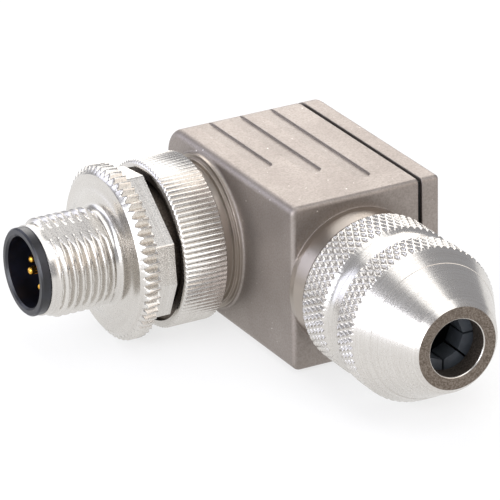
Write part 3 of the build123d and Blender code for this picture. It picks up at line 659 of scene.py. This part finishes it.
def thread_ring(sizes, station):
    """Radius round the thread at one station, with the smooth channel."""

    def radius(angle):
        turns = (station - sizes.first_crest) / sizes.thread_pitch - angle / FULL_TURN
        away = (1 - zigzag(turns)) / 2
        drop = np.clip((away - CREST_FLAT) / (FLANK_END - CREST_FLAT), 0, 1)
        drop = drop - FLANK_BOW * np.sin(math.pi * drop)
        reach = sizes.thread_radius - sizes.thread_depth * drop
        run_in = sizes.lead_radius + (station + sizes.thread_half + sizes.lead_chamfer)
        left = sizes.thread_half + sizes.run_out - station
        run_out = sizes.undercut_radius + left * RUN_OUT_SLOPE
        reach = np.minimum(reach, np.minimum(run_in, run_out))
        turn = np.cos(angle - sizes.channel_angle)
        channel = sizes.channel_depth / np.maximum(turn, FACING_CHANNEL)
        return np.minimum(reach, np.where(turn > FACING_CHANNEL, channel, BEYOND))

    return radius


def pointed_ring(root, tip, count, shape, limit):
    """Radius round a rim of pointed teeth or ridges, cut back to a limit."""

    def radius(angle):
        height = blunted(zigzag(angle * count / FULL_TURN), shape)
        return np.minimum(root + (tip - root) * height, limit)

    return radius


def wrench_ring(sizes, shrink=0.0):
    """Radius round the wrench flats, which run from corner to corner."""
    following = WRENCH_CORNERS[1:] + (WRENCH_CORNERS[0] + 360,)

    def radius(angle):
        reach = np.full(len(angle), BEYOND)
        for first, second in zip(WRENCH_CORNERS, following):
            middle, half = math.radians((first + second) / 2), math.radians((second - first) / 2)
            turn = np.cos(angle - middle)
            flat = (sizes.wrench_radius * math.cos(half) - shrink) / np.maximum(turn, FACING_FLAT)
            reach = np.where(turn > FACING_FLAT, np.minimum(reach, flat), reach)
        return reach

    return radius


def coupling_rings(sizes):
    """Rings of the coupling screw from its bore's front edge, over the outside and back inside."""
    front, rear = (corner.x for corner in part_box("coupling_screw"))
    # The bore's edge is broken and the outer edge is rounded in two steps.
    rings = [
        (front + mm(0.1), sizes.bore_radius),
        (front, sizes.bore_radius + mm(0.08)),
        (front, sizes.lead_radius - mm(0.14)),
        (front + mm(0.05), sizes.lead_radius - mm(0.04)),
        (front + mm(0.14), sizes.lead_radius),
    ]
    start = -sizes.thread_half - sizes.lead_chamfer
    stop = sizes.thread_half + sizes.run_out
    for i in range(RINGS_OF_THREAD + 1):
        station = start + (stop - start) * i / RINGS_OF_THREAD
        rings.append((station, thread_ring(sizes, station)))

    face = sizes.flange_face
    middle = (face - sizes.root_fillet, sizes.undercut_radius + sizes.root_fillet)
    rings += fillet(middle, sizes.root_fillet, 270, 360, FILLET_STEPS)
    rings += [(face, sizes.flat_radius), (face + mm(0.03), sizes.flat_radius + mm(0.05))]
    for part in (0.5, 1.0):
        reach = sizes.flat_radius + (sizes.dome_radius - sizes.flat_radius) * part
        fallen = DOME_START + (1 - DOME_START) * part ** 2
        rings.append((face + sizes.dome_drop * fallen, reach))

    def toothed(limit):
        return pointed_ring(sizes.tooth_root, sizes.tooth_tip, sizes.teeth, TOOTH_SHAPE, limit)

    bevel_front = face + sizes.dome_drop + mm(0.04)
    for part in (0.0, 0.25, 0.5, 0.7, 0.85, 1.0):
        station = bevel_front + (sizes.bevel_rear - bevel_front) * part
        limit = sizes.dome_radius + mm(0.03) + (sizes.tooth_tip - sizes.dome_radius) * part
        rings.append((station, toothed(limit)))
    rings += [
        (sizes.tooth_rear - mm(0.05), toothed(sizes.tooth_tip)),
        (sizes.tooth_rear, toothed(sizes.tooth_tip - mm(0.06))),
        (sizes.tooth_rear, wrench_ring(sizes)),
        (sizes.wrench_rear - sizes.wrench_bevel, wrench_ring(sizes)),
        (sizes.wrench_rear, wrench_ring(sizes, sizes.wrench_bevel)),
        (sizes.wrench_rear, sizes.sleeve_radius),
        (rear, sizes.sleeve_radius),
        (rear, sizes.sleeve_bore),
        (sizes.sleeve_bore_front, sizes.sleeve_bore),
        (sizes.sleeve_bore_front, sizes.bore_radius),
    ]
    return rings


def union_rings(sizes):
    """Rings of the union ring, with straight ridges outside."""
    front, rear = (corner.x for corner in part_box("union_ring"))
    root, tip = sizes.root_radius, sizes.tip_radius
    edge = root - sizes.bevel_height
    rings = [(front, sizes.mouth_radius), (front, edge)]
    for end, inwards, parts in ((front, 1, (0.35, 0.7, 1.0)), (rear, -1, (1.0, 0.6, 0.3))):
        for part in parts:
            limit = edge + (tip - edge) * part
            ridged = pointed_ring(root, tip, sizes.ridges, RIDGE_SHAPE, limit)
            rings.append((end + inwards * sizes.bevel * part, ridged))
    rings += [
        (rear, edge),
        (rear, sizes.thread_radius),
        (front + sizes.foot_rear, sizes.thread_radius),
        (front + sizes.foot_rear, sizes.foot_radius),
        (front + sizes.lip_rear, sizes.foot_radius),
        (front + sizes.lip_rear, sizes.lip_radius),
        (front + sizes.lip_front, sizes.lip_radius),
        (front + sizes.lip_front, sizes.mouth_radius),
    ]
    return rings


def knurl_rings(sizes, start, end, radius):
    """Rings of one diamond-knurled band; the ridges cross and leave pits between them."""
    count = round(FULL_TURN * radius / sizes.knurl_pitch)
    steps = round((end - start) / sizes.knurl_pitch * STEPS_PER_DIAMOND)
    rings = []
    for i in range(steps + 1):
        along = start + (end - start) * i / steps
        inside = min((along - start), (end - along)) / sizes.knurl_bevel
        limit = radius - sizes.knurl_drop * max(0.0, 1 - inside)
        lean = along / sizes.knurl_pitch * 0.5

        def ring(angle, lean=lean, limit=limit):
            turns = angle * count / FULL_TURN
            height = np.maximum(zigzag(turns + lean), zigzag(turns - lean))
            reach = radius - sizes.knurl_depth * (1 - blunted(height, KNURL_SHAPE))
            return np.minimum(reach, limit)

        rings.append((along, ring))
    return rings


def nut_rings(sizes):
    """Rings of the gland nut from its rear recess, over the outside and back through the bore."""
    slope = (sizes.cone_radius - sizes.nose_radius) / (sizes.nose - sizes.second_end)
    step_radius = sizes.cone_radius - slope * (sizes.cone_step - sizes.second_end)
    mouth = (sizes.tip - sizes.lip, sizes.bore_radius + sizes.lip)
    # Distances in front of the rear face; the small steps are broken edges and turned lines.
    ahead = [
        (0.0, sizes.seal_radius),
        (0.0, sizes.edge_radius - mm(0.06)),
        (mm(0.07), sizes.edge_radius),
        (sizes.band_start - mm(0.05), sizes.edge_radius + mm(0.02)),
        *knurl_rings(sizes, sizes.band_start, sizes.band_end, sizes.band_radius),
        (sizes.waist_rear, sizes.waist_radius),
        (sizes.waist_line, sizes.waist_radius),
        (sizes.waist_line + mm(0.03), sizes.waist_radius - mm(0.04)),
        (sizes.waist_line + mm(0.08), sizes.waist_radius),
        (sizes.waist_front, sizes.waist_radius),
        *knurl_rings(sizes, sizes.second_start, sizes.second_end, sizes.second_radius),
        (sizes.second_end + mm(0.02), sizes.cone_radius),
        (sizes.cone_step, step_radius),
        (sizes.cone_step + mm(0.02), step_radius - mm(0.06)),
        (sizes.nose, sizes.nose_radius),
        (sizes.nose + mm(0.08), sizes.nose_radius - mm(0.06)),
        (sizes.tip - mm(0.05), sizes.tip_radius + mm(0.05)),
        (sizes.tip, sizes.tip_radius),
        *fillet(mouth, sizes.lip, 360, 270, LIP_STEPS),
        (sizes.bore_end, sizes.bore_radius),
        (sizes.bore_end, sizes.cavity_end_radius),
        (sizes.cavity_end, sizes.cavity_end_radius),
        (sizes.cavity_cone, sizes.cavity_radius),
        (sizes.shoulder, sizes.cavity_radius),
        (sizes.shoulder, sizes.thread_radius),
        (sizes.seal_end, sizes.thread_radius),
        (sizes.seal_end, sizes.seal_radius),
    ]
    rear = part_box("gland_nut")[1].y
    return [(rear - along, radius) for along, radius in ahead]


def pin_rings(sizes, node):
    """Rings of one contact with a rounded tip."""
    tip, end = (corner.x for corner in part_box(node))
    rings = []
    for turn in (math.radians(degrees) for degrees in (4, 25, 45, 65, 90)):
        rings.append((tip + sizes.tip_length * (1 - math.cos(turn)), sizes.radius * math.sin(turn)))
    rings += [
        (sizes.shoulder, sizes.radius),
        (sizes.shoulder, sizes.shoulder_radius),
        (end, sizes.shoulder_radius),
        (end, mm(PIN_CORE)),
    ]
    return rings


class CONNECTOR_OT_carried_over(bpy.types.Operator):
    """Gives the solid pieces that stay as they are their materials"""

    bl_idname = "connector.carried_over"
    bl_label = "Housing and inner pieces"

    def execute(self, context):
        finish = context.scene.finish
        groups = {
            cast_nickel(finish): ("housing", "rear_cover"),
            # The plastics and the rubber get paler patches of painted sheen
            moulded_polymer(
                "Black glass-filled polyamide", finish.black, finish.black_painted_sheen, 0.34
            ): ("contact_insert", "insert_base", "terminal_block"),
            moulded_polymer(
                "Slate-grey polyamide", finish.slate, finish.slate_painted_sheen, 0.5
            ): ("clamp_cage",),
            moulded_polymer(
                "Black nitrile rubber", finish.rubber, finish.rubber_painted_sheen, 0.72
            ): ("cover_gasket", "insert_seal", "cable_seal", "gland_seal"),
            turned_nickel(finish, "Zinc-plated steel", "X", 0.3, 0.42): (
                "cover_screws", "terminal_screws", "coupling_circlip",
                "union_ring_washer", "gland_washer", "shield_ring",
            ),
        }
        for material, names in groups.items():
            for name in names:
                NODES[name].data.materials.clear()
                NODES[name].data.materials.append(material)
        return {"FINISHED"}


class CONNECTOR_OT_coupling(bpy.types.Operator):
    """Adds the coupling screw with its helical thread, teeth and wrench flats"""

    bl_idname = "connector.coupling"
    bl_label = "Coupling screw"

    def execute(self, context):
        sizes, finish = context.scene.coupling_sizes, context.scene.finish
        rings = coupling_rings(sizes)
        piece = lathe("coupling_screw_dressed", rings, COUPLING_STEPS, on_mating_axis)
        name = "Bright nickel-plated turned brass, coupling"
        metal = turned_nickel(finish, name, "X", sand=0.25)
        dress(piece, "coupling", metal, "coupling_screw")
        sleeve = sizes.wrench_rear - mm(SLACK)
        # The sleeve and bore behind the wrench flats get nickel darkened with painted shade
        paint_shade_on_faces(piece, painted_shade_nickel(finish), lambda centre: centre.x > sleeve)
        return {"FINISHED"}


class CONNECTOR_OT_union_ring(bpy.types.Operator):
    """Adds the union ring with its straight ridges"""

    bl_idname = "connector.union_ring"
    bl_label = "Union ring"

    def execute(self, context):
        sizes, finish = context.scene.ring_sizes, context.scene.finish
        steps = sizes.ridges * STEPS_PER_RIDGE
        piece = lathe("union_ring_dressed", union_rings(sizes), steps, on_mating_axis)
        name = "Bright nickel-plated turned brass, union ring"
        metal = turned_nickel(finish, name, "X", sand=0.4)
        dress(piece, "ring", metal, "union_ring")
        mouth = sizes.mouth_radius + mm(SLACK)
        # The faces inside the mouth get nickel darkened with painted shade
        paint_shade_on_faces(
            piece, painted_shade_nickel(finish), lambda centre: math.hypot(centre.y, centre.z) < mouth
        )
        return {"FINISHED"}


class CONNECTOR_OT_gland_nut(bpy.types.Operator):
    """Adds the gland nut with its two diamond-knurled bands"""

    bl_idname = "connector.gland_nut"
    bl_label = "Gland nut"

    def execute(self, context):
        sizes, finish = context.scene.nut_sizes, context.scene.finish
        steps = round(FULL_TURN * sizes.band_radius / sizes.knurl_pitch) * STEPS_PER_DIAMOND
        piece = lathe("gland_nut_dressed", nut_rings(sizes), steps, on_cable_axis)
        name = "Bright nickel-plated turned brass, gland nut"
        metal = turned_nickel(finish, name, "Y", sand=0.8)
        dress(piece, "nut", metal, "gland_nut")
        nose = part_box("gland_nut")[0].y + mm(SLACK)
        bore = sizes.bore_radius + mm(SLACK)

        def faced_or_bored(centre):
            return centre.y < nose or math.hypot(centre.x - CABLE_AXIS_X, centre.z) < bore

        # The nose face and the bore get nickel darkened with painted shade
        paint_shade_on_faces(piece, painted_shade_nickel(finish), faced_or_bored)
        return {"FINISHED"}


class CONNECTOR_OT_contacts(bpy.types.Operator):
    """Adds the gold-plated contacts with rounded tips"""

    bl_idname = "connector.contacts"
    bl_label = "Contacts"

    def execute(self, context):
        sizes = context.scene.pin_sizes
        gold = gold_plate(context.scene.finish)
        for node in sorted(n for n in NODES if n.startswith("contact_pin_")):
            low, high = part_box(node)
            middle = (low + high) / 2

            def around(station, radius, angle, y=middle.y, z=middle.z):
                return station, y - radius * np.sin(angle), z + radius * np.cos(angle)

            piece = lathe(node + "_dressed", pin_rings(sizes, node), PIN_STEPS, around)
            dress(piece, "shell", gold, node)
        return {"FINISHED"}


def add_softbox(name, direction, radiance, tint):
    """Square area lamp that looks at the part; its power follows from the radiance wanted."""
    data = bpy.data.lights.new(name, "AREA")
    data.shape = "SQUARE"
    data.size = SOFTBOX_SIDE
    data.energy = radiance * math.pi * SOFTBOX_SIDE ** 2
    data.color = linear(tint)
    lamp = bpy.data.objects.new(name, data)
    low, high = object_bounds()
    way = Vector(direction).normalized()
    lamp.location = (low + high) / 2 + way * SOFTBOX_DISTANCE
    lamp.rotation_mode = "QUATERNION"
    lamp.rotation_quaternion = way.to_track_quat("Z", "Y")
    bpy.context.scene.collection.objects.link(lamp)
    return lamp


def add_camera(scene):
    """Camera at the photograph's viewing angle."""
    azimuth, elevation, roll = (
        math.radians(angle) for angle in (CAMERA_AZIMUTH, CAMERA_ELEVATION, CAMERA_ROLL)
    )
    back = Vector((
        math.sin(azimuth) * math.cos(elevation),
        -math.cos(azimuth) * math.cos(elevation),
        math.sin(elevation),
    ))
    right = Vector((math.cos(azimuth), math.sin(azimuth), 0))
    up = back.cross(right)
    across = right * math.cos(roll) + up * math.sin(roll)
    upward = up * math.cos(roll) - right * math.sin(roll)
    data = bpy.data.cameras.new("camera")
    data.sensor_width = SENSOR_WIDTH
    data.lens = CAMERA_FOCAL_PIXELS / PHOTO_SIDE * SENSOR_WIDTH
    data.shift_x, data.shift_y = (shift / PHOTO_SIDE for shift in CAMERA_SHIFT_PIXELS)
    data.clip_start, data.clip_end = CAMERA_CLIP
    camera = bpy.data.objects.new("camera", data)
    place = Matrix((across, upward, back)).transposed().to_4x4()
    place.translation = Vector(CAMERA_TARGET) * MILLIMETRE + back * mm(CAMERA_DISTANCE)
    camera.matrix_world = place
    scene.collection.objects.link(camera)
    scene.camera = camera
    return camera


def add_world(scene):
    """Pale, slightly cool surroundings that fill the shadows."""
    world = bpy.data.worlds.new("Studio")
    scene.world = world
    world.use_nodes = True
    sky = world.node_tree.nodes["Background"]
    sky.inputs["Color"].default_value = rgba(linear(WORLD_TINT))
    sky.inputs["Strength"].default_value = WORLD_STRENGTH


class CONNECTOR_OT_stage(bpy.types.Operator):
    """Adds the floor, lamps and camera of the product photograph"""

    bl_idname = "connector.stage"
    bl_label = "Stage"

    def execute(self, context):
        scene = context.scene
        bpy.ops.mesh.primitive_plane_add(size=FLOOR_SIDE, location=(0, 0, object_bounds()[0].z))
        floor = context.object
        floor.name = "floor"
        floor.data.materials.append(white_paper(scene.finish))
        lamps = [add_softbox(*lamp) for lamp in LAMPS]
        camera = add_camera(scene)
        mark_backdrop(floor, camera, *lamps)
        add_world(scene)
        scene.view_settings.view_transform = "Standard"
        return {"FINISHED"}


GROUPS = {
    "coupling_sizes": CouplingSizes,
    "ring_sizes": RingSizes,
    "nut_sizes": NutSizes,
    "pin_sizes": PinSizes,
    "finish": Finish,
}
OPERATORS = (
    CONNECTOR_OT_carried_over,
    CONNECTOR_OT_coupling,
    CONNECTOR_OT_union_ring,
    CONNECTOR_OT_gland_nut,
    CONNECTOR_OT_contacts,
    CONNECTOR_OT_stage,
)


class CONNECTOR_PT_sidebar(bpy.types.Panel):
    """Sidebar with the sizes, colours and pieces"""

    bl_label = "Sensor connector"
    bl_idname = "CONNECTOR_PT_sidebar"
    bl_space_type = "VIEW_3D"
    bl_region_type = "UI"
    bl_category = "Connector"

    def draw(self, context):
        layout = self.layout
        for name in GROUPS:
            group = getattr(context.scene, name)
            box = layout.box()
            box.label(text=name.replace("_", " ").capitalize())
            for key in group.__annotations__:
                box.prop(group, key)
        for operator in OPERATORS:
            layout.operator(operator.bl_idname)


def register():
    """Adds the sizes, operators and panel to Blender."""
    for name, group in GROUPS.items():
        bpy.utils.register_class(group)
        setattr(bpy.types.Scene, name, PointerProperty(type=group))
    for kind in (*OPERATORS, CONNECTOR_PT_sidebar):
        bpy.utils.register_class(kind)


def unregister():
    """Takes them away again."""
    for kind in (CONNECTOR_PT_sidebar, *reversed(OPERATORS)):
        bpy.utils.unregister_class(kind)
    for name, group in reversed(GROUPS.items()):
        delattr(bpy.types.Scene, name)
        bpy.utils.unregister_class(group)


def main():
    """Builds every piece in order."""
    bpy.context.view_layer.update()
    register()
    bpy.ops.connector.carried_over()
    bpy.ops.connector.coupling()
    bpy.ops.connector.union_ring()
    bpy.ops.connector.gland_nut()
    bpy.ops.connector.contacts()
    bpy.ops.connector.stage()
    bpy.context.view_layer.update()


if __name__ == "__main__":
    main()
